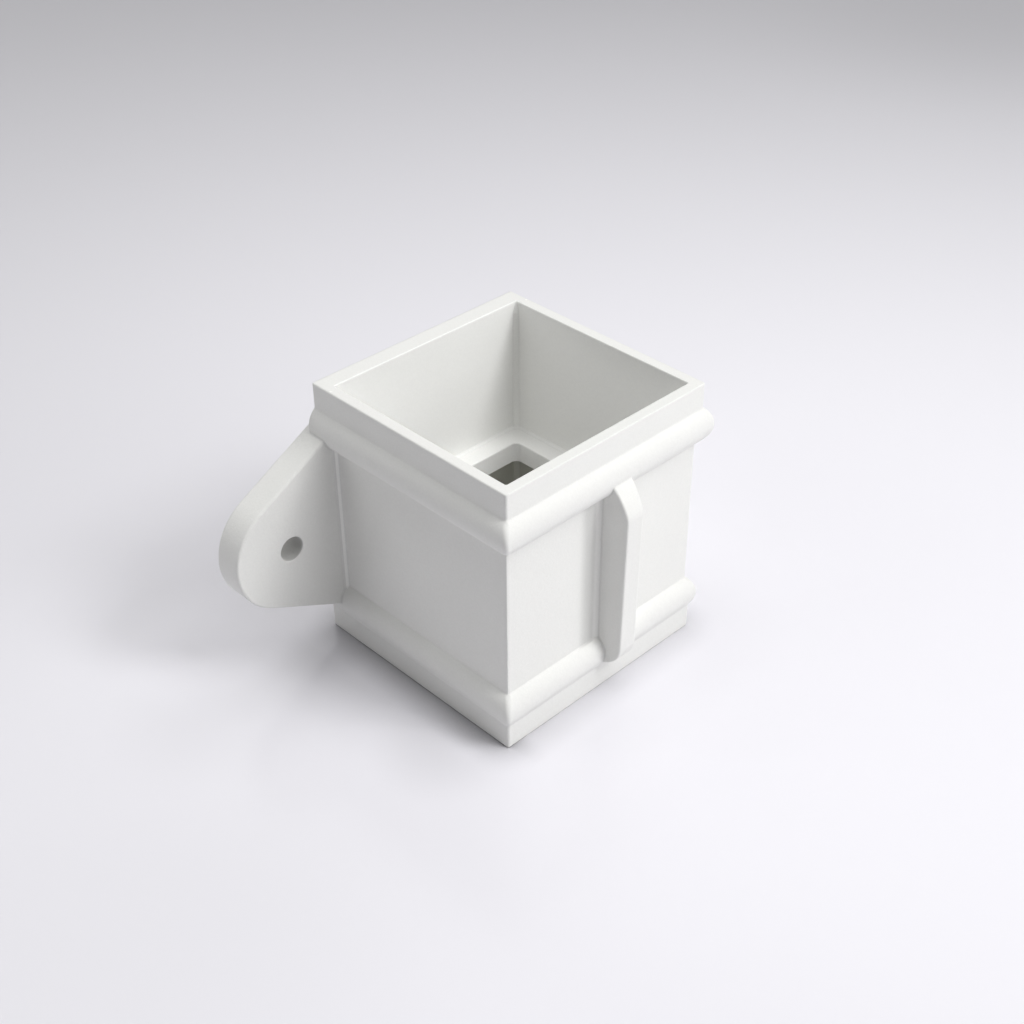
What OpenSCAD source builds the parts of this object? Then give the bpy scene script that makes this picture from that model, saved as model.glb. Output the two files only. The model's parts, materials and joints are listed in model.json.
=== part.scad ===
// Eared downpipe socket: a square casting that joins two lengths of square downpipe and
// holds them to the wall. The pipe's axis is Z, the wall is behind (-X), the rib is in
// front (+X) and the ears stand out to the sides (+Y and -Y).
// The origin is on the pipe's axis, at the level of the lower end. The modules draw round
// the middle of the end bands, and the finished body is moved back from there to the origin.

/* [Body] */
// Width of the square end bands, outside
body_w = 85; // [78:0.5:110]
// Height from end to end
body_h = 95.5; // [85:0.5:140]
// Depth of the panels behind the face of the bands
panel_recess = 1.5; // [0.5:0.1:2]

/* [Mouldings] */
// Height of the plain band at the top
top_band_h = 8.8; // [5:0.1:14]
// Height of the plain band at the foot
foot_band_h = 9.2; // [5:0.1:14]
// Radius of the upper bead's section
upper_bead_r = 7.6; // [6.5:0.1:9]
// How far the upper bead stands out from the band
upper_bead_out = 2.9; // [1.2:0.1:3.6]
// Radius of the lower bead's section
lower_bead_r = 8; // [6.5:0.1:9]
// How far the lower bead stands out from the band
lower_bead_out = 1.8; // [1:0.1:3]

/* [Pipe sockets] */
// Thickness of the front and side walls, at the bands
wall = 3.8; // [3.2:0.1:5.5]
// Thickness of the wall at the back
back_wall = 6.4; // [4:0.1:9]
// Radius of the sockets' upright corners
socket_corner_r = 1.6; // [0.8:0.1:4]
// Depth of the lower socket, from the lower end to the pipe stop
lower_socket_depth = 38.6; // [30:0.1:46]
// Thickness of the pipe stop
stop_t = 7.7; // [3:0.1:12]
// Width of the ledge that the pipe sits on
stop_ledge = 7.2; // [3:0.1:12]
// Radius of the corners of the waterway through the stop
waterway_corner_r = 2.4; // [1:0.1:6]

/* [Ears] */
// Thickness of the ears
ear_t = 10.4; // [6:0.1:16]
// How far the back of the ears stands behind the body
ear_behind = 2.8; // [0.5:0.1:6]
// Distance of a fixing hole from the face of the bands
ear_hole_out = 18.8; // [15:0.1:30]
// Height of the fixing holes above the lower end
ear_hole_z = 45.9; // [40:0.1:52]
// Diameter of the fixing holes
ear_hole_d = 8.4; // [5:0.1:12]
// Radius of an ear's round end
ear_end_r = 21; // [14:0.1:24]
// How far above the middle of the upper bead an ear's upper edge begins
ear_root_above = 0.5; // [0:0.1:4]
// How far below the middle of the lower bead an ear's lower edge begins
ear_root_below = 2; // [0:0.1:4]
// Radius of the fillet between an ear and the panel
ear_fillet_r = 1.4; // [0.6:0.1:2.4]

/* [Rib] */
// Thickness of the rib along its front
rib_t = 7; // [3:0.1:12]
// Distance of the rib's middle from the middle of the front
rib_shift = 2.8; // [-6:0.1:6]
// How much further each side of the rib stands out at the panel than at its front
rib_draft = 1; // [0:0.1:2]
// Width of the flat fillet along the rib's root, on the panel
rib_fillet_w = 2.2; // [0.4:0.1:4]
// Height of that fillet on the rib's side
rib_fillet_h = 0.6; // [0.2:0.1:2]
// How far the rib stands out from the panel at its top
rib_top_out = 10.1; // [6:0.1:14]
// How far the rib stands out from the panel at its foot
rib_foot_out = 9.1; // [5:0.1:12]
// Radius of the rib's round top
rib_top_r = 26; // [20:0.5:34]
// Angle at which the round top leans back from the rib's front
rib_top_lean = 19; // [12:1:25]
// How far below the middle of the upper bead the round top begins
rib_top_below = 10.9; // [9:0.1:14]
// How far above the foot band the rib's round foot ends
rib_foot_above = 1.1; // [0:0.1:4]

/* [Hidden] */
$fn = 96;
// Spare length of a block past a face that it cuts, or into a face that it joins
over = 1;
paint = "#eeeeea";

band_x = body_w / 2;
panel_x = band_x - panel_recess;

// A bead is an arc of a circle that leaves the band at the band's edge
upper_crease_z = body_h - top_band_h;
upper_bead_x = band_x + upper_bead_out - upper_bead_r;
upper_bead_z = upper_crease_z - sqrt(upper_bead_r ^ 2 - (band_x - upper_bead_x) ^ 2);
lower_bead_x = band_x + lower_bead_out - lower_bead_r;
lower_bead_z = foot_band_h + sqrt(lower_bead_r ^ 2 - (band_x - lower_bead_x) ^ 2);

socket_back_x = -band_x + back_wall;
socket_front_x = band_x - wall;
socket_half_y = band_x - wall;
pipe_x = (socket_back_x + socket_front_x) / 2;

ear_back_x = -band_x - ear_behind;
ear_front_x = ear_back_x + ear_t;
ear_hole_y = band_x + ear_hole_out;
ear_root_top_z = upper_bead_z + ear_root_above;
ear_root_foot_z = lower_bead_z - ear_root_below;

rib_foot_z = foot_band_h + rib_foot_above + rib_foot_out;
rib_top_z = upper_bead_z - rib_top_below;
rib_slope = (rib_top_out - rib_foot_out) / (rib_top_z - rib_foot_z);
rib_round_x = panel_x + rib_top_out - rib_top_r * cos(rib_top_lean);
rib_round_z = rib_top_z - rib_top_r * sin(rib_top_lean);
rib_peak_z = rib_round_z + rib_top_r;

// Point where a line from a point outside a circle touches it: turn -1 or 1 picks the side
function touch(from, centre, r, turn) =
    let (d = from - centre)
    let (at = atan2(d.y, d.x) + turn * acos(r / norm(d)))
    centre + r * [cos(at), sin(at)];

// Stands a flat outline, drawn as (X, Z), in the XZ plane and extrudes it along Y
module along_y(y_from, y_to)
    translate([0, y_to, 0]) rotate([90, 0, 0]) linear_extrude(y_to - y_from) children();

// Stands a flat outline, drawn as (Y, Z), in the YZ plane and extrudes it along X
module along_x(x_from, x_to)
    translate([x_from, 0, 0]) rotate([90, 0, 90]) linear_extrude(x_to - x_from) children();

// Rectangle with round corners, between two opposite corners
module round_rectangle(low, high, r) {
    translate([low.x + r, low.y]) square([high.x - low.x - 2 * r, high.y - low.y]);
    translate([low.x, low.y + r]) square([high.x - low.x, high.y - low.y - 2 * r]);
    for (x = [low.x + r, high.x - r], y = [low.y + r, high.y - r])
        translate([x, y]) circle(r);
}

// Section of one moulded face, from the pipe's axis outwards: panel, bands and beads.
// The bands run on inside the beads, up or down to the beads' middles.
module face_section() {
    square([panel_x, body_h]);
    square([band_x, lower_bead_z]);
    translate([0, upper_bead_z]) square([band_x, body_h - upper_bead_z]);
    translate([upper_bead_x, upper_bead_z]) circle(upper_bead_r);
    translate([lower_bead_x, lower_bead_z]) circle(lower_bead_r);
}

// The body's outline seen from the side: moulded in front, flat at the back
module side_outline() {
    face_section();
    translate([-band_x, 0]) square([band_x, body_h]);
}

// The body's outline seen from the front: moulded on both sides
module front_outline() {
    face_section();
    mirror([1, 0]) face_section();
}

// The body as a solid block: the mouldings meet in mitres at the two front corners
module moulded_block() {
    half = band_x + upper_bead_out + lower_bead_out;
    intersection() {
        along_y(-half, half) side_outline();
        along_x(-band_x, half) front_outline();
    }
}

// Outline of the plate that runs behind the body and ends in the two ears
module ear_plate_outline() {
    centre = [ear_hole_y, ear_hole_z];
    root_top = [panel_x, ear_root_top_z];
    root_foot = [panel_x, ear_root_foot_z];
    translate([-panel_x, ear_root_foot_z]) square([2 * panel_x, ear_root_top_z - ear_root_foot_z]);
    for (side = [0, 1]) mirror([side, 0]) {
        translate(centre) circle(ear_end_r);
        polygon([
            root_foot, touch(root_foot, centre, ear_end_r, 1),
            touch(root_top, centre, ear_end_r, -1), root_top,
        ]);
    }
}

// The ears and the plate between them
module ears()
    along_x(ear_back_x, ear_front_x) ear_plate_outline();

// Fillets up the corners between the ears' fronts and the side panels
module ear_fillets() {
    height = upper_bead_z - lower_bead_z;
    for (side = [0, 1]) mirror([0, side, 0])
        translate([ear_front_x, panel_x, lower_bead_z])
            difference() {
                translate([-over, -over, 0])
                    cube([over + ear_fillet_r, over + ear_fillet_r, height]);
                translate([ear_fillet_r, ear_fillet_r, -over])
                    cylinder(h = height + 2 * over, r = ear_fillet_r);
            }
}

// The rib's straight front, from its foot up to the height of its peak
module rib_front() {
    peak_out = rib_foot_out + rib_slope * (rib_peak_z - rib_foot_z);
    polygon([
        [panel_x - over, rib_foot_z], [panel_x + rib_foot_out, rib_foot_z],
        [panel_x + peak_out, rib_peak_z], [panel_x - over, rib_peak_z],
    ]);
}

// What the rib's round top leaves of it
module rib_top_limit() {
    translate([rib_round_x, rib_round_z]) circle(rib_top_r);
    translate([panel_x - over, rib_foot_z])
        square([2 * rib_top_out, rib_round_z - rib_foot_z]);
}

// The rib's quarter-round foot
module rib_foot()
    translate([panel_x, rib_foot_z]) intersection() {
        circle(rib_foot_out);
        translate([-over, -rib_foot_out]) square([over + rib_foot_out, rib_foot_out]);
    }

// The rib's section, as (X, Y): it narrows towards its front and has fillets at its root
module rib_section() {
    root = rib_t / 2 + rib_draft;
    half = [
        [panel_x - over, root + rib_fillet_w], [panel_x, root + rib_fillet_w],
        [panel_x + rib_fillet_h, root], [panel_x + rib_top_out, rib_t / 2],
    ];
    for (side = [0, 1]) mirror([0, side])
        polygon(concat([[panel_x - over, 0]], half, [[panel_x + rib_top_out, 0]]));
}

// The rib up the front, slightly shallower at its foot
module rib() {
    half = rib_t / 2 + rib_draft + rib_fillet_w + over;
    translate([0, rib_shift, 0]) intersection() {
        linear_extrude(body_h) rib_section();
        along_y(-half, half) {
            intersection() {
                rib_front();
                rib_top_limit();
            }
            rib_foot();
        }
    }
}

// What the pipes fill, above and below the stop
module pipe_space() {
    low = [socket_back_x, -socket_half_y];
    high = [socket_front_x, socket_half_y];
    stop_top_z = lower_socket_depth + stop_t;
    translate([0, 0, stop_top_z])
        linear_extrude(body_h - stop_top_z + over) round_rectangle(low, high, socket_corner_r);
    translate([0, 0, -over])
        linear_extrude(over + lower_socket_depth) round_rectangle(low, high, socket_corner_r);
}

// The opening through the stop, which lets the water past
module waterway() {
    ledge = [stop_ledge, stop_ledge];
    low = [socket_back_x, -socket_half_y] + ledge;
    high = [socket_front_x, socket_half_y] - ledge;
    translate([0, 0, lower_socket_depth - over])
        linear_extrude(stop_t + 2 * over) round_rectangle(low, high, waterway_corner_r);
}

// The screw holes through the ears, from front to back
module fixing_holes()
    for (side = [-1, 1])
        translate([ear_back_x - over, side * ear_hole_y, ear_hole_z])
            rotate([0, 90, 0]) cylinder(h = ear_t + 2 * over, d = ear_hole_d);

module socket_body()
    color(paint) translate([-pipe_x, 0, 0])
        difference() {
            union() {
                moulded_block();
                ears();
                ear_fillets();
                rib();
            }
            pipe_space();
            waterway();
            fixing_holes();
        }

socket_body();
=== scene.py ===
"""A square eared downpipe socket, cast and powder coated in white, on a pale studio floor."""
import itertools
import json
import math

import bpy
import numpy as np
from mathutils import Matrix, Vector


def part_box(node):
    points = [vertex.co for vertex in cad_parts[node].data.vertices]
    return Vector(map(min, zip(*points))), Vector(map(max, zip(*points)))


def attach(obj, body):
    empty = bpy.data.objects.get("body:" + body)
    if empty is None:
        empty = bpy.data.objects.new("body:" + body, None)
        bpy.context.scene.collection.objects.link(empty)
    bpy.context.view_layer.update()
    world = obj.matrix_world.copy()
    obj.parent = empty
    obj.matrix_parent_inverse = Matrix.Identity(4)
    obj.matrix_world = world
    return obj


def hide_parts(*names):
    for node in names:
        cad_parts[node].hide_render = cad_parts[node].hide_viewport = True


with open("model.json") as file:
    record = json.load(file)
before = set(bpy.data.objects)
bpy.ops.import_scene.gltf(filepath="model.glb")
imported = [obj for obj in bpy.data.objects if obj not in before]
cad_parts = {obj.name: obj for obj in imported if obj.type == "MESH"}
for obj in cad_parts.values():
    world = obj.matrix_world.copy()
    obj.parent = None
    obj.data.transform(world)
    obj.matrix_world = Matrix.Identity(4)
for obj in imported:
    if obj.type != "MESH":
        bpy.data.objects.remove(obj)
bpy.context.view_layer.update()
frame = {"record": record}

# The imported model, in millimetres

MM = 0.001
NODE = "socket_body"
low, high = (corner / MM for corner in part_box(NODE))
mounts = {mount["name"]: mount for mount in frame["record"]["mounts"]}
fixing = mounts["wall_fixing"]

# Sizes of the casting, in millimetres. X counts from the middle of the end bands.

HEIGHT = high.z
BAND = 42.5
PANEL = 41.0


def bead_section(out, r, crease, turn):
    """The circle of a bead that stands out from the band, above its crease (turn 1) or below (-1)."""
    x = BAND + out - r
    return {"x": x, "z": crease + turn * math.sqrt(r ** 2 - (BAND - x) ** 2), "r": r}


UPPER_BEAD = bead_section(out=2.9, r=7.6, crease=HEIGHT - 8.8, turn=-1)
LOWER_BEAD = bead_section(out=1.8, r=8.0, crease=9.2, turn=1)
BEADS = (LOWER_BEAD, UPPER_BEAD)

SOCKET_X = (-36.1, 38.7)
SOCKET_Y = 38.7
STOP_Z = (38.6, 46.3)
LEDGE = 7.2

EAR_BEHIND = 2.8
EAR_X = (-BAND - EAR_BEHIND, -34.9)
EAR_ROOT_Z = (LOWER_BEAD["z"] - 2.0, UPPER_BEAD["z"] + 0.5)
EAR_HOLE_Y = fixing["dims"]["spacing_x_mm"] / 2
EAR_HOLE_Z = fixing["pos_m"][2] / MM
EAR_HOLE_R = fixing["dims"]["hole_r_mm"]
EAR_END_R = high.y - EAR_HOLE_Y

RIB_Y = 2.8
RIB_HALF = {"front": 3.5, "root": 4.5}
RIB_FILLET = {"on_panel": 2.2, "on_side": 0.6}
RIB_FOOT = {"z": 19.4, "out": 9.1}
RIB_TOP = {"z": UPPER_BEAD["z"] - 10.9, "out": 10.1, "r": 26.0, "lean": math.radians(19)}
RIB_SUNK = 1.5

# Where the pipe's axis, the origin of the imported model, lies on that X

PIPE_X = -(low.x + BAND + EAR_BEHIND)

# Radii of the eased edges, and widths of the flat fillets, in millimetres

CREASE_R = 0.3
CORNER_R = 0.85
BEAD_CORNER = {"r": 1.3, "steepness": 1.4}
RIM_R = 0.45
SOCKET_RIM_R = 0.4
FOOT_R = 0.5
BACK_R = 0.6
EAR_EDGE_R = 0.8
EAR_FILLET = 1.4
RIB_EDGE_R = 0.6
RIB_TOP_EDGE_R = 0.4
SOCKET_CORNER = {"low": 1.6, "rim": 0.3, "taper": 4.0}
LEDGE_FILLET = 0.8
WATERWAY_CORNER_R = 2.4
WATERWAY_EDGE_R = 0.4
HOLE_EDGE_R = 0.5

# The mesh: millimetres between its first points, and how many triangles are kept

CELL = 0.42
CELL_CORNERS = list(itertools.product((0, 1), repeat=3))
TRIANGLES = 150000

# The photograph's camera, solved from the edges of the square body: degrees, then metres,
# and its lens and sensor in millimetres

CAMERA = {
    "azimuth": 45.864, "elevation": 35.647, "roll": -0.445,
    "distance": 0.49714, "aside": -0.00079, "above": 0.00064, "nearest": 0.01,
    "lens": 54.152, "sensor": 36,
}

# Studio: azimuth, elevation, distance, size and power of each lamp, in degrees, metres and watts

LAMPS = {
    "key": (24, 45, 1.2, 0.3, 4.0),
    "key_glow": (24, 60, 1.2, 0.5, 4.6),
    "front_low": (10, 30, 1.2, 0.7, 2.2),
    "right_low": (35, 20, 1.2, 0.7, 2.2),
    "level": (20, 6, 1.2, 0.7, 0.8),
    "top": (0, 90, 1.2, 0.8, 3.25),
    "left_low": (-120, 25, 1.2, 0.7, 1.8),
    "left_high": (-90, 40, 1.2, 0.7, 0.3),
    "back_left_low": (-150, 30, 1.2, 0.7, 1.25),
    "back_left_high": (-150, 65, 1.2, 0.7, 1.4),
    "back_right": (165, 50, 1.2, 0.7, 1.3),
}
STUDIO = {"level": (0.62, 0.615, 0.65, 1), "above": (1, 1, 1, 1), "above_from": 0.6}

# Floor: its width is in metres, and places and reaches on it are in millimetres. Its colour holds
# painted light and shade: a painted shadow in its corners round the foot, deeper from from_y towards
# -Y, a painted fall-off of the light with distance, and soft spots of painted light and shadow.
# A spot has the x and y of its middle, its reach, and the factor on the floor's colour in its middle.

FLOOR_WIDTH = 8
FLOOR_COLOUR = (0.85, 0.84, 0.884)
FLOOR_GLOSS = {"roughness": 0.2, "specular": 0.4}
# Painted fall-off of the light, darker with distance from the object
FLOOR_PAINTED_FALLOFF = {"x": -14, "y": 116, "start": 25, "end": 746, "near": 1.055, "far": 0.76}
# Painted shadow round the foot
FLOOR_PAINTED_SHADOW = {"reach": 12.0, "deeper": 0.95, "elsewhere": 0.5, "from_y": low.y / 2, "blend": (0, 8)}
# Soft spots of painted shadow (factor below 1) and painted light (factor above 1)
FLOOR_LIGHT_AND_SHADE_SPOTS = (
    (20, -105, 120, 0.92),
    (-64, -75, 42, 1.17),
    (-35, -98, 40, 0.92),
    (-35, -56, 18, 0.82),
    (26, -58, 26, 0.86),
    (-220, 650, 200, 0.9),
)

# Coat: colours and factors on them, some of which paint light and shade, and sizes, heights,
# reaches and blends in millimetres. A blend says how far past its edge a zone of the coat starts
# to change, and where it ends.

COAT_OUTSIDE = (0.84, 0.84, 0.815, 1)
# Paler inside the upper socket: painted light that brightens its walls
COAT_INSIDE_PAINTED_LIGHT = (0.95, 0.95, 0.93, 1)
# Darker inside the lower socket: painted shade
COAT_LOWER_PAINTED_SHADE = (0.58, 0.58, 0.52, 1)
COAT_ROUGHNESS = (0.46, 0.56)
COAT_SPECULAR = 0.28
MOTTLE = {"size": 0.6, "detail": 3.0, "depth": 0.03, "from": 0.3, "to": 0.7}
GRAIN = {"size": 0.42, "height": 0.065, "on_sides": 1.0, "in_front": 0.5, "inside": 0.3}
PEEL = {"size": 1.5, "height": 0.09}
# Painted shade in the creases and corners, darker where less of the sky is open
CREASE_PAINTED_SHADE = {"reach": 0.8, "from": 0.8, "depth": 0.09}
# A painted highlight along the flat fillets where the ears leave the body
EAR_FILLET_PAINTED_LIGHT = {"inset": 0.35, "blend": (-0.1, 0.1), "factor": 1.16}
# A painted shadow in a soft band on the panel along the rib's -Y side
RIB_PAINTED_SHADOW = {"darkens": (1.0, 3.4), "fades": (4.4, 10.5), "factor": 0.78}
# Painted shade inside the screw holes
HOLE_PAINTED_SHADE = {"blend": (0, 0.15), "factor": 0.72}
SOCKET_WALL_BLEND = (0.1, 0.5)
LOWER_SOCKET_BLEND = (-0.2, 0.6)
FRONT_BLEND = (-2, -1)
TOP_BLEND = (-1, -0.5)
PANEL_BLENDS = {"back": (-0.5, -0.1), "front": (0.4, 1.0)}

SKY_SAMPLES = 6


def join(a, b, r):
    """Union of two distance fields, with a fillet of radius r in the corner."""
    return np.maximum(r, np.minimum(a, b)) - np.hypot(np.maximum(r - a, 0), np.maximum(r - b, 0))


def meet(a, b, r):
    """What two distance fields share, with the edge between them eased to radius r."""
    return np.minimum(-r, np.maximum(a, b)) + np.hypot(np.maximum(r + a, 0), np.maximum(r + b, 0))


def cut(a, b, r):
    """The first field less the second, with the edge eased to radius r."""
    return meet(a, -b, r)


def weld(a, b, leg):
    """Union of two distance fields, with a flat fillet in the corner."""
    return np.minimum(np.minimum(a, b), (a + b - leg) * math.sqrt(0.5))


def clip(a, b, leg):
    """What two distance fields share, with the edge between them cut off flat."""
    return np.maximum(np.maximum(a, b), (a + b + leg) * math.sqrt(0.5))


def disc(u, v, r):
    """Distance from a circle round the origin."""
    return np.hypot(u, v) - r


def round_rectangle(x, y, half_x, half_y, r):
    """Distance from a rectangle round the origin whose corners have radius r."""
    u = np.abs(x) - half_x + r
    v = np.abs(y) - half_y + r
    return np.hypot(np.maximum(u, 0), np.maximum(v, 0)) + np.minimum(np.maximum(u, v), 0) - r


def face_section(u, z):
    """A moulded face, u being the distance from the bands' middle: panel, bands and beads."""
    section = np.minimum(u - PANEL, np.maximum(u - BAND, z - LOWER_BEAD["z"]))
    section = np.minimum(section, np.maximum(u - BAND, UPPER_BEAD["z"] - z))
    for bead in BEADS:
        section = join(section, disc(u - bead["x"], z - bead["z"], bead["r"]), CREASE_R)
    return section


def corner_radius(z):
    """The front corners are eased more where the beads meet."""
    near = np.zeros_like(z)
    steep = BEAD_CORNER["steepness"]
    for bead in BEADS:
        near = np.maximum(near, np.clip(steep - steep * np.abs(z - bead["z"]) / bead["r"], 0, 1))
    return CORNER_R + (BEAD_CORNER["r"] - CORNER_R) * near


def body(x, y, z):
    """The square body without its openings."""
    solid = meet(face_section(x, z), face_section(np.abs(y), z), corner_radius(z))
    solid = meet(solid, -BAND - x, BACK_R)
    solid = meet(solid, z - HEIGHT, RIM_R)
    return meet(solid, -z, FOOT_R)


def tangent(root_z, turn):
    """Normal of the ear's straight edge, which runs from its root and touches the round end."""
    dy, dz = PANEL - EAR_HOLE_Y, root_z - EAR_HOLE_Z
    angle = math.atan2(dz, dy) + turn * math.acos(EAR_END_R / math.hypot(dy, dz))
    return math.cos(angle), math.sin(angle)


def ears(x, y, z):
    """The plate behind the body and the two ears at its ends."""
    u, v = np.abs(y) - EAR_HOLE_Y, z - EAR_HOLE_Z
    down, up = tangent(EAR_ROOT_Z[0], 1), tangent(EAR_ROOT_Z[1], -1)
    straight = np.maximum(u * up[0] + v * up[1], u * down[0] + v * down[1]) - EAR_END_R
    at_end = (down[0] * v - down[1] * u > 0) & (u * up[1] - v * up[0] > 0)
    outline = np.where(at_end, disc(u, v, EAR_END_R), straight)
    outline = np.maximum(outline, np.maximum(EAR_ROOT_Z[0] - z, z - EAR_ROOT_Z[1]))
    return meet(outline, np.maximum(EAR_X[0] - x, x - EAR_X[1]), EAR_EDGE_R)


def rib_profile(u, z):
    """The rib seen from its side: a large round cuts its top off, and its foot is a quarter round."""
    slope = (RIB_TOP["out"] - RIB_FOOT["out"]) / (RIB_TOP["z"] - RIB_FOOT["z"])
    profile = u - RIB_FOOT["out"] - slope * (z - RIB_FOOT["z"])
    profile = np.where(z < RIB_FOOT["z"], disc(u, z - RIB_FOOT["z"], RIB_FOOT["out"]), profile)
    round_u = RIB_TOP["out"] - RIB_TOP["r"] * math.cos(RIB_TOP["lean"])
    round_z = RIB_TOP["z"] - RIB_TOP["r"] * math.sin(RIB_TOP["lean"])
    top = np.where(z > round_z, disc(u - round_u, z - round_z, RIB_TOP["r"]), -RIB_TOP["r"])
    profile = meet(profile, top, RIB_TOP_EDGE_R)
    return np.maximum(profile, -u - RIB_SUNK)


def rib(x, y, z):
    """The rib up the front, with draft on its sides and flat fillets at its root."""
    u = x - PANEL
    v = np.abs(y - RIB_Y) - RIB_HALF["root"]
    draft = (RIB_HALF["root"] - RIB_HALF["front"]) / RIB_TOP["out"]
    side = (v + draft * u) / math.hypot(1, draft)
    wide, tall = RIB_FILLET["on_panel"], RIB_FILLET["on_side"]
    fillet = (v * tall + u * wide - wide * tall) / math.hypot(wide, tall)
    return meet(rib_profile(u, z), np.minimum(side, fillet), RIB_EDGE_R)


def casting(x, y, z):
    """Distance from the casting's surface, negative inside the metal.

    The ears' flat fillets lie against the plain core between the beads.
    """
    core = np.maximum(np.abs(y) - PANEL, np.maximum(LOWER_BEAD["z"] - z, z - UPPER_BEAD["z"]))
    core = np.maximum(core, np.maximum(-BAND - x, x - PANEL))
    solid = join(body(x, y, z), weld(core, ears(x, y, z), EAR_FILLET), CREASE_R)
    solid = join(solid, rib(x, y, z), CREASE_R)
    x_in = x - sum(SOCKET_X) / 2
    half_x = (SOCKET_X[1] - SOCKET_X[0]) / 2
    fade = np.clip((HEIGHT - z) / SOCKET_CORNER["taper"], 0, 1)
    corner = SOCKET_CORNER["rim"] + (SOCKET_CORNER["low"] - SOCKET_CORNER["rim"]) * fade
    pipe = clip(np.abs(x_in) - half_x, np.abs(y) - SOCKET_Y, corner)
    solid = cut(solid, clip(pipe, STOP_Z[1] - z, LEDGE_FILLET), SOCKET_RIM_R)
    solid = cut(solid, clip(pipe, z - STOP_Z[0], LEDGE_FILLET), FOOT_R)
    waterway = round_rectangle(x_in, y, half_x - LEDGE, SOCKET_Y - LEDGE, WATERWAY_CORNER_R)
    solid = cut(solid, waterway, WATERWAY_EDGE_R)
    hole = disc(np.abs(y) - EAR_HOLE_Y, z - EAR_HOLE_Z, EAR_HOLE_R)
    return cut(solid, hole, HOLE_EDGE_R)


def gradient(field, points, reach=0.02):
    """The field's gradient, by differences towards the corners of a tetrahedron."""
    corners = ((1, 1, 1), (1, -1, -1), (-1, 1, -1), (-1, -1, 1))
    total = np.zeros_like(points)
    for corner in corners:
        step = np.array(corner) * reach
        total += field(*(points + step).T)[:, None] * np.array(corner)
    return total / (len(corners) * reach)


def unit(vectors, least=1e-9):
    """The vectors at length 1."""
    return vectors / np.maximum(np.linalg.norm(vectors, axis=1, keepdims=True), least)


def settle(field, points, passes=3, least=0.1):
    """Moves the points onto the field's zero surface."""
    for _ in range(passes):
        slope = gradient(field, points)
        square = np.maximum((slope ** 2).sum(axis=1, keepdims=True), least)
        points = points - field(*points.T)[:, None] * slope / square
    return points


def grid_axis(start, end, cell, spare=1.5):
    """Places a cell apart from before the start to past the end."""
    margin = spare * cell
    count = int(math.ceil((end - start + 2 * margin) / cell))
    return start - margin + cell * np.arange(count + 1)


def sampled(field, axes):
    """The field's values at every point of the grid."""
    y, z = np.meshgrid(axes[1], axes[2], indexing="ij")
    return np.stack([field(np.full_like(y, x), y, z).astype(np.float32) for x in axes[0]])


def mixed_cells(inside):
    """The cells that the surface passes through, and the number that each has on the grid."""
    cells = [n - 1 for n in inside.shape]
    count = np.zeros(cells, np.uint8)
    for i, j, k in CELL_CORNERS:
        count += inside[i:i + cells[0], j:j + cells[1], k:k + cells[2]]
    mixed = np.argwhere((count > 0) & (count < len(CELL_CORNERS)))
    number = np.full(cells, -1, np.int32)
    number[tuple(mixed.T)] = np.arange(len(mixed))
    return mixed, number


def mean_crossings(values, mixed):
    """The mean place in each cell where the surface crosses the cell's edges, as shares of a cell."""
    corners = np.stack([values[tuple((mixed + corner).T)] for corner in CELL_CORNERS], 1)
    total = np.zeros((len(mixed), 3))
    crossings = np.zeros((len(mixed), 1))
    for a, b in itertools.combinations(range(len(CELL_CORNERS)), 2):
        step = np.array(CELL_CORNERS[b]) - np.array(CELL_CORNERS[a])
        if np.abs(step).sum() != 1:
            continue
        split = (corners[:, a] < 0) != (corners[:, b] < 0)
        share = corners[split, a] / (corners[split, a] - corners[split, b])
        total[split] += np.array(CELL_CORNERS[a]) + share[:, None] * step
        crossings[split] += 1
    return total / crossings


def crossing_faces(inside, number):
    """One face round each grid edge that the surface crosses, turned outwards."""
    faces = []
    for axis in range(3):
        u, v = (axis + 1) % 3, (axis + 2) % 3
        near = [slice(1, -1)] * 3
        near[axis] = slice(0, -1)
        far = list(near)
        far[axis] = slice(1, None)
        here, there = inside[tuple(near)], inside[tuple(far)]
        for edges, turn in ((here & ~there, 1), (~here & there, -1)):
            node = np.argwhere(edges)
            node[:, u] += 1
            node[:, v] += 1
            ring = []
            for du, dv in ((-1, -1), (0, -1), (0, 0), (-1, 0))[::turn]:
                cell_at = node.copy()
                cell_at[:, u] += du
                cell_at[:, v] += dv
                ring.append(number[tuple(cell_at.T)])
            faces.append(np.stack(ring, 1))
    return np.concatenate(faces)


def surface_net(field, corner_a, corner_b, cell):
    """Points and four-sided faces of the field's zero surface, one point in each mixed cell."""
    axes = [grid_axis(a, b, cell) for a, b in zip(corner_a, corner_b)]
    values = sampled(field, axes)
    inside = values < 0
    mixed, number = mixed_cells(inside)
    start = np.array([axis[0] for axis in axes])
    points = start + cell * (mixed + mean_crossings(values, mixed))
    return points, crossing_faces(inside, number)


def mesh_from(name, points, faces):
    """A mesh of the points and of faces that all have as many sides."""
    mesh = bpy.data.meshes.new(name)
    mesh.vertices.add(len(points))
    mesh.vertices.foreach_set("co", points.astype(np.float32).ravel())
    mesh.loops.add(faces.size)
    mesh.loops.foreach_set("vertex_index", faces.astype(np.int32).ravel())
    mesh.polygons.add(len(faces))
    mesh.polygons.foreach_set("loop_start", np.arange(0, faces.size, faces.shape[1], dtype=np.int32))
    mesh.update(calc_edges=True)
    return mesh


def mesh_points(mesh):
    """The places of the mesh's points."""
    points = np.empty(3 * len(mesh.vertices), np.float32)
    mesh.vertices.foreach_get("co", points)
    return points.reshape(-1, 3).astype(float)


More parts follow.
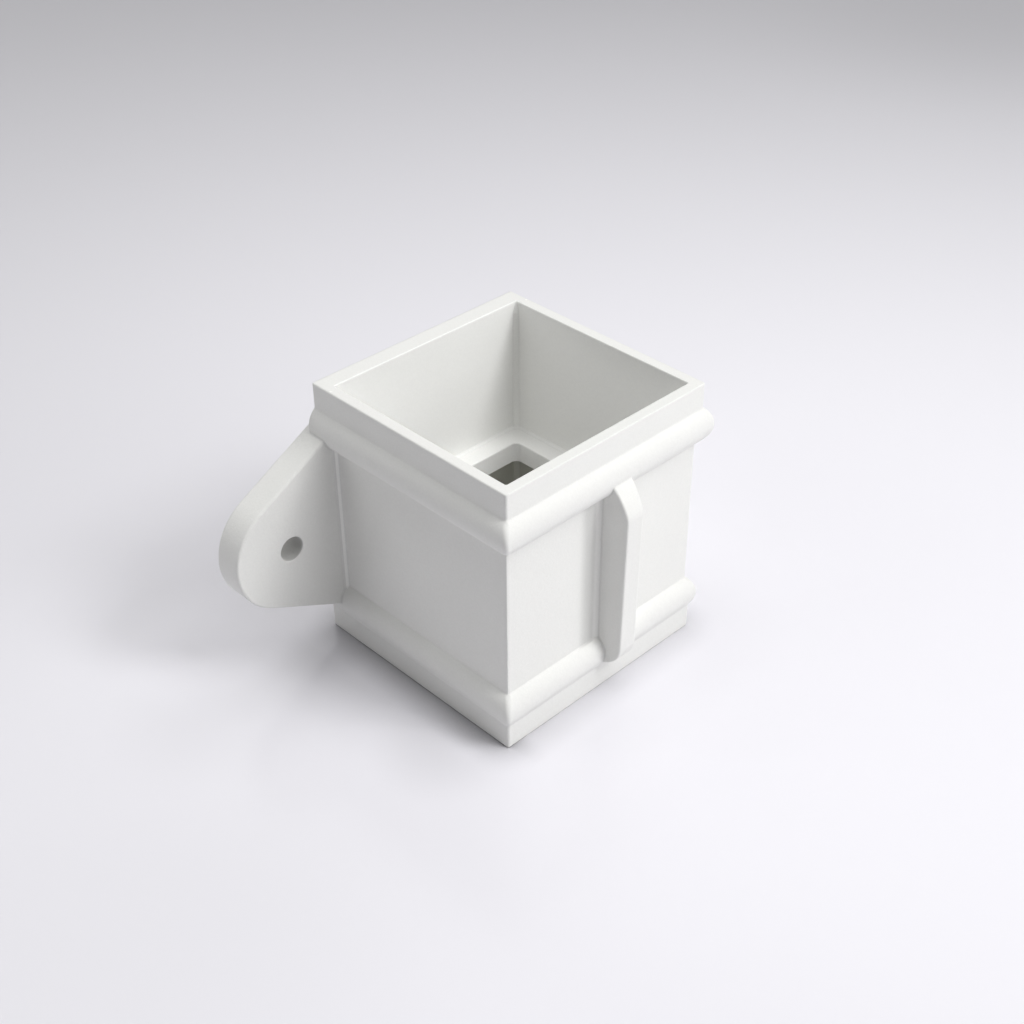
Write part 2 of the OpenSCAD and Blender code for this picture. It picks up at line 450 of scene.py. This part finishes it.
def thin_out(obj, triangles):
    """Leaves the object's mesh with few large triangles where it is flat."""
    have = sum(len(p.vertices) - 2 for p in obj.data.polygons)
    modifier = obj.modifiers.new("thin", "DECIMATE")
    modifier.ratio = min(triangles / have, 1)
    obj.modifiers.new("three_sided", "TRIANGULATE")
    graph = bpy.context.evaluated_depsgraph_get()
    mesh = bpy.data.meshes.new_from_object(obj.evaluated_get(graph))
    obj.modifiers.clear()
    old = obj.data
    obj.data = mesh
    bpy.data.meshes.remove(old)


def corner_normals(field, mesh, points, share=0.2, reach=0.3, crease=math.radians(8), least=1e-9):
    """The surface's direction at each face corner, so that creases stay sharp.

    It is read at the point itself, or a little inside the face where that differs.
    """
    loops = np.empty(len(mesh.loops), np.int32)
    mesh.loops.foreach_get("vertex_index", loops)
    faces = loops.reshape(-1, 3)
    inward = points[faces].mean(axis=1, keepdims=True) - points[faces]
    length = np.maximum(np.linalg.norm(inward, axis=2, keepdims=True), least)
    painted_light_and_shade_spots = points[faces] + inward * np.minimum(share, reach / length)
    inside = unit(gradient(field, painted_light_and_shade_spots.reshape(-1, 3)))
    at_point = unit(gradient(field, points))[loops]
    sharp = (inside * at_point).sum(axis=1, keepdims=True) < math.cos(crease)
    return np.where(sharp, inside, at_point)


def make_casting(material):
    """The casting as one mesh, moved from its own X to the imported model's."""
    start = (EAR_X[0], low.y, low.z)
    end = (high.x + PIPE_X, high.y, high.z)
    points, faces = surface_net(casting, start, end, CELL)
    points = settle(casting, points)
    obj = bpy.data.objects.new("casting", mesh_from("casting", points, faces))
    bpy.context.scene.collection.objects.link(obj)
    thin_out(obj, TRIANGLES)
    mesh = obj.data
    points = settle(casting, mesh_points(mesh), passes=2)
    normals = corner_normals(casting, mesh, points)
    placed = (points - np.array([PIPE_X, 0, 0])) * MM
    mesh.vertices.foreach_set("co", placed.astype(np.float32).ravel())
    mesh.polygons.foreach_set("use_smooth", np.ones(len(mesh.polygons), bool))
    mesh.update()
    mesh.normals_split_custom_set(normals)
    mesh.materials.clear()
    mesh.materials.append(material)
    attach(obj, "root")
    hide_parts(NODE)


class Nodes:
    """Adds nodes to a shader tree and links them, with one call for each node."""

    def __init__(self, tree):
        self.tree = tree

    def plug(self, socket, value):
        """Links the socket to another node's output, or else sets its value."""
        if isinstance(value, bpy.types.NodeSocket):
            self.tree.links.new(value, socket)
        else:
            socket.default_value = value

    def add(self, kind, output, settings=(), **inputs):
        """Adds a node whose inputs are given by name, and returns the named output."""
        node = self.tree.nodes.new(kind)
        for name, value in dict(settings).items():
            setattr(node, name, value)
        for name, value in inputs.items():
            self.plug(node.inputs[name.replace("_", " ")], value)
        return node.outputs[output]

    def operate(self, kind, operation, values, output):
        """Adds a node that takes its values in their order, and returns the named output."""
        node = self.tree.nodes.new(kind)
        node.operation = operation
        for socket, value in zip(node.inputs, values):
            self.plug(socket, value)
        return node.outputs[output]

    def maths(self, operation, *values):
        return self.operate("ShaderNodeMath", operation, values, "Value")

    def product(self, share, *others):
        for other in others:
            share = self.maths("MULTIPLY", share, other)
        return share

    def scaled(self, colour, factor):
        settings = {"operation": "SCALE"}
        return self.add("ShaderNodeVectorMath", "Vector", settings, Vector=colour, Scale=factor)

    def mix(self, share, a, b):
        """The first colour where the share is 0, and the second where it is 1."""
        return self.add("ShaderNodeMix", "Result", {"data_type": "RGBA"}, Factor=share, A=a, B=b)

    def apart(self, vector):
        """The vector's x, y and z."""
        node = self.tree.nodes.new("ShaderNodeSeparateXYZ")
        self.plug(node.inputs["Vector"], vector)
        return tuple(node.outputs)

    def ramp(self, value, start, end, before=0.0, beyond=1.0):
        """A smooth step from one level before the start to the other beyond the end."""
        return self.add(
            "ShaderNodeMapRange", "Result", {"interpolation_type": "SMOOTHSTEP"},
            Value=value, From_Min=start, From_Max=end, To_Min=before, To_Max=beyond,
        )

    def past(self, value, edge, blend, before=0.0, beyond=1.0):
        """One level short of an edge and the other past it, blended between, in millimetres."""
        return self.ramp(value, (edge + blend[0]) * MM, (edge + blend[1]) * MM, before, beyond)

    def short_of(self, value, edge, blend):
        """1 short of an edge and 0 past it."""
        return self.past(value, edge, blend, 1.0, 0.0)

    def factor_in(self, zone, factor):
        """1 outside a zone, where the zone is 0, and the factor inside, where it is 1."""
        return self.ramp(zone, 0.0, 1.0, 1.0, factor)

    def spot(self, place, middle, start, end, before, beyond):
        """A smooth step with the distance from a point of the floor, in millimetres."""
        point = (middle[0] * MM, middle[1] * MM, 0)
        away = self.operate("ShaderNodeVectorMath", "DISTANCE", (place, point), "Value")
        return self.ramp(away, start * MM, end * MM, before, beyond)

    def noise(self, place, size, detail=2.0, roughness=0.6):
        """Noise from 0 to 1 whose grains are about size millimetres across."""
        return self.add(
            "ShaderNodeTexNoise", "Fac",
            Vector=place, Scale=1 / (size * MM), Detail=detail, Roughness=roughness,
        )

    def open_sky(self, reach, near_only):
        """1 on open surfaces, less in corners that are nearer than the reach, in millimetres."""
        settings = {"samples": SKY_SAMPLES, "only_local": near_only}
        return self.add("ShaderNodeAmbientOcclusion", "AO", settings, Distance=reach * MM)


def new_material(name):
    """A new material, its nodes and its shader."""
    material = bpy.data.materials.new(name)
    material.use_nodes = True
    tree = material.node_tree
    return material, Nodes(tree), tree.nodes["Principled BSDF"]


def inside_sockets(coat, x, y):
    """1 on the smooth walls inside the sockets, 0 on the grainy outside and on the rims."""
    half_x = (SOCKET_X[1] - SOCKET_X[0]) / 2
    near_x = coat.short_of(coat.maths("ABSOLUTE", x), half_x, SOCKET_WALL_BLEND)
    near_y = coat.short_of(coat.maths("ABSOLUTE", y), SOCKET_Y, SOCKET_WALL_BLEND)
    return coat.product(near_x, near_y)


def front_or_top(coat, x, z):
    """1 on the front face and on the top rim, where the grain is finer, 0 elsewhere."""
    front = coat.past(x, PANEL - PIPE_X, FRONT_BLEND)
    top = coat.past(z, HEIGHT, TOP_BLEND)
    return coat.maths("MAXIMUM", front, top)


def ear_fillet_highlight(coat, x, y):
    """1 on the flat fillets where the ears leave the body, where a highlight is painted, 0 elsewhere."""
    ahead = coat.maths("SUBTRACT", x, (EAR_X[1] - PIPE_X) * MM)
    aside = coat.maths("SUBTRACT", coat.maths("ABSOLUTE", y), PANEL * MM)
    half = EAR_FILLET / 2
    shares = []
    for value in (ahead, aside):
        from_middle = coat.maths("ABSOLUTE", coat.maths("SUBTRACT", value, half * MM))
        edge = half - EAR_FILLET_PAINTED_LIGHT["inset"]
        shares.append(coat.short_of(from_middle, edge, EAR_FILLET_PAINTED_LIGHT["blend"]))
    return coat.product(*shares)


def rib_painted_shadow_band(coat, x, y, z):
    """1 on the panel in a soft band along the rib's -Y side, where the rib's shadow is painted, 0
    elsewhere.
    """
    away = coat.maths("SUBTRACT", (RIB_Y - RIB_HALF["root"]) * MM, y)
    panel = PANEL - PIPE_X
    return coat.product(
        coat.past(away, 0, RIB_PAINTED_SHADOW["darkens"]),
        coat.short_of(away, 0, RIB_PAINTED_SHADOW["fades"]),
        coat.past(x, panel, PANEL_BLENDS["back"]),
        coat.short_of(x, panel, PANEL_BLENDS["front"]),
        coat.past(z, LOWER_BEAD["z"], (0, LOWER_BEAD["r"])),
        coat.short_of(z, UPPER_BEAD["z"], (-UPPER_BEAD["r"], 0)),
    )


def in_holes(coat, y, z):
    """1 inside the screw holes, where shade is painted, 0 elsewhere."""
    across = coat.maths("SUBTRACT", coat.maths("ABSOLUTE", y), EAR_HOLE_Y * MM)
    upward = coat.maths("SUBTRACT", z, EAR_HOLE_Z * MM)
    square = coat.maths("MULTIPLY_ADD", across, across, coat.maths("MULTIPLY", upward, upward))
    return coat.short_of(coat.maths("SQRT", square), EAR_HOLE_R, HOLE_PAINTED_SHADE["blend"])


def coat_colour(coat, x, y, z, inside, mottle):
    """White outside, with painted light in the upper socket and painted shade in the lower one."""
    lower = coat.short_of(z, STOP_Z[0], LOWER_SOCKET_BLEND)
    colour = coat.mix(inside, COAT_OUTSIDE, coat.mix(lower, COAT_INSIDE_PAINTED_LIGHT, COAT_LOWER_PAINTED_SHADE))
    # Mottle is the coat's own; the rest is painted light on the ear fillets and painted shade elsewhere
    mottle_and_painted_light_and_shade = (
        coat.ramp(mottle, MOTTLE["from"], MOTTLE["to"], 1 - MOTTLE["depth"], 1.0),
        # Painted highlight on the ear fillets
        coat.factor_in(ear_fillet_highlight(coat, x, y), EAR_FILLET_PAINTED_LIGHT["factor"]),
        # Painted shadow beside the rib
        coat.factor_in(rib_painted_shadow_band(coat, x, y, z), RIB_PAINTED_SHADOW["factor"]),
        # Painted shade in the screw holes
        coat.factor_in(in_holes(coat, y, z), HOLE_PAINTED_SHADE["factor"]),
        # Painted shade in the creases
        coat.ramp(coat.open_sky(CREASE_PAINTED_SHADE["reach"], True), CREASE_PAINTED_SHADE["from"], 1.0, 1 - CREASE_PAINTED_SHADE["depth"], 1.0),
    )
    for tone in mottle_and_painted_light_and_shade:
        colour = coat.scaled(colour, tone)
    return colour


def coat_grain(coat, place, x, z, inside):
    """The fine grain over a longer wave, coarsest on the sides and smoothest in the sockets."""
    grain = coat.noise(place, GRAIN["size"])
    peel = coat.noise(place, PEEL["size"])
    height = coat.maths("MULTIPLY_ADD", peel, PEEL["height"] / GRAIN["height"], grain)
    outside = coat.ramp(front_or_top(coat, x, z), 0.0, 1.0, GRAIN["on_sides"], GRAIN["in_front"])
    less = coat.maths("SUBTRACT", GRAIN["inside"], outside)
    strength = coat.maths("MULTIPLY_ADD", inside, less, outside)
    return coat.add(
        "ShaderNodeBump", "Normal", Strength=strength, Distance=GRAIN["height"] * MM, Height=height)


def powder_coat():
    """Satin white powder coat with the fine grain that it dries with."""
    material, coat, shader = new_material("white_powder_coat")
    place = coat.add("ShaderNodeTexCoord", "Object")
    x, y, z = coat.apart(place)
    inside = inside_sockets(coat, x, y)
    mottle = coat.noise(place, MOTTLE["size"], MOTTLE["detail"])
    roughness = coat.ramp(mottle, MOTTLE["from"], MOTTLE["to"], *COAT_ROUGHNESS)
    coat.plug(shader.inputs["Base Color"], coat_colour(coat, x, y, z, inside, mottle))
    coat.plug(shader.inputs["Normal"], coat_grain(coat, place, x, z, inside))
    coat.plug(shader.inputs["Roughness"], roughness)
    shader.inputs["Specular IOR Level"].default_value = COAT_SPECULAR
    return material


def floor_paint():
    """Pale satin paint with a painted shadow round the foot, a painted fall-off and soft painted spots."""
    material, board, shader = new_material("floor")
    place = board.add("ShaderNodeTexCoord", "Object")
    # Painted shadow round the foot, from how much sky is open, deeper on the -Y side
    depth = board.past(
        board.apart(place)[1], FLOOR_PAINTED_SHADOW["from_y"], FLOOR_PAINTED_SHADOW["blend"],
        FLOOR_PAINTED_SHADOW["deeper"], FLOOR_PAINTED_SHADOW["elsewhere"])
    closed = board.maths("SUBTRACT", 1.0, board.open_sky(FLOOR_PAINTED_SHADOW["reach"], False))
    share = board.maths("SUBTRACT", 1.0, board.maths("MULTIPLY", closed, depth))
    # Painted fall-off of the light with distance
    fade = board.spot(
        place, (FLOOR_PAINTED_FALLOFF["x"], FLOOR_PAINTED_FALLOFF["y"]),
        FLOOR_PAINTED_FALLOFF["start"], FLOOR_PAINTED_FALLOFF["end"], FLOOR_PAINTED_FALLOFF["near"], FLOOR_PAINTED_FALLOFF["far"])
    # Soft spots of painted light and painted shadow
    painted_light_and_shade_spots = [board.spot(place, (x, y), 0, reach, factor, 1.0) for x, y, reach, factor in FLOOR_LIGHT_AND_SHADE_SPOTS]
    share = board.product(share, fade, *painted_light_and_shade_spots)
    board.plug(shader.inputs["Base Color"], board.scaled(FLOOR_COLOUR, share))
    shader.inputs["Roughness"].default_value = FLOOR_GLOSS["roughness"]
    shader.inputs["Specular IOR Level"].default_value = FLOOR_GLOSS["specular"]
    return material


def make_floor():
    """The studio's floor, at the height of the lower rim."""
    bpy.ops.mesh.primitive_plane_add(size=FLOOR_WIDTH, location=(0, 0, low.z * MM))
    floor = bpy.context.object
    floor.name = "floor"
    floor.data.materials.append(floor_paint())


def make_camera():
    """The photograph's camera. Azimuth 0 looks along +Y, and 90 along -X."""
    azimuth, elevation, roll = (math.radians(CAMERA[angle]) for angle in ("azimuth", "elevation", "roll"))
    back = Vector((
        math.sin(azimuth) * math.cos(elevation),
        -math.cos(azimuth) * math.cos(elevation),
        math.sin(elevation),
    ))
    level = Vector((0, 0, 1)).cross(back).normalized()
    upright = back.cross(level)
    right = level * math.cos(roll) + upright * math.sin(roll)
    up = upright * math.cos(roll) - level * math.sin(roll)
    aim = Vector((-PIPE_X, 0, HEIGHT / 2)) * MM
    place = aim + back * CAMERA["distance"] - right * CAMERA["aside"] - up * CAMERA["above"]
    data = bpy.data.cameras.new("camera")
    data.lens = CAMERA["lens"]
    data.sensor_width = CAMERA["sensor"]
    data.clip_start = CAMERA["nearest"]
    camera = bpy.data.objects.new("camera", data)
    camera.matrix_world = Matrix((
        (right.x, up.x, back.x, place.x),
        (right.y, up.y, back.y, place.y),
        (right.z, up.z, back.z, place.z),
        (0, 0, 0, 1),
    ))
    bpy.context.scene.collection.objects.link(camera)
    bpy.context.scene.camera = camera


def area_light(name, azimuth, elevation, distance, size, power):
    """A square soft light that faces the object. Azimuth 0 shines from +X, 90 from +Y."""
    a, e = math.radians(azimuth), math.radians(elevation)
    aim = Vector((0, 0, HEIGHT / 2)) * MM
    away = Vector((math.cos(a) * math.cos(e), math.sin(a) * math.cos(e), math.sin(e)))
    data = bpy.data.lights.new(name, "AREA")
    data.size = size
    data.energy = power
    light = bpy.data.objects.new(name, data)
    light.location = aim + away * distance
    light.rotation_mode = "QUATERNION"
    light.rotation_quaternion = away.to_track_quat("Z", "Y")
    light.visible_camera = False
    bpy.context.scene.collection.objects.link(light)


def make_world():
    """A pale studio all round, which only the camera and the gloss see."""
    world = bpy.data.worlds.new("studio")
    bpy.context.scene.world = world
    world.use_nodes = True
    studio = Nodes(world.node_tree)
    upward = studio.apart(studio.add("ShaderNodeTexCoord", "Generated"))[2]
    paleness = studio.ramp(upward, 0.0, STUDIO["above_from"])
    colour = studio.mix(paleness, STUDIO["level"], STUDIO["above"])
    camera, glossy, through = (
        studio.add("ShaderNodeLightPath", f"Is {ray} Ray") for ray in ("Camera", "Glossy", "Transmission"))
    strength = studio.maths("MAXIMUM", camera, studio.maths("MAXIMUM", glossy, through))
    background = world.node_tree.nodes["Background"]
    studio.plug(background.inputs["Color"], colour)
    studio.plug(background.inputs["Strength"], strength)


make_camera()
make_casting(powder_coat())
make_floor()
make_world()
for name, lamp in LAMPS.items():
    area_light(name, *lamp)
bpy.context.scene.view_settings.view_transform = "Standard"
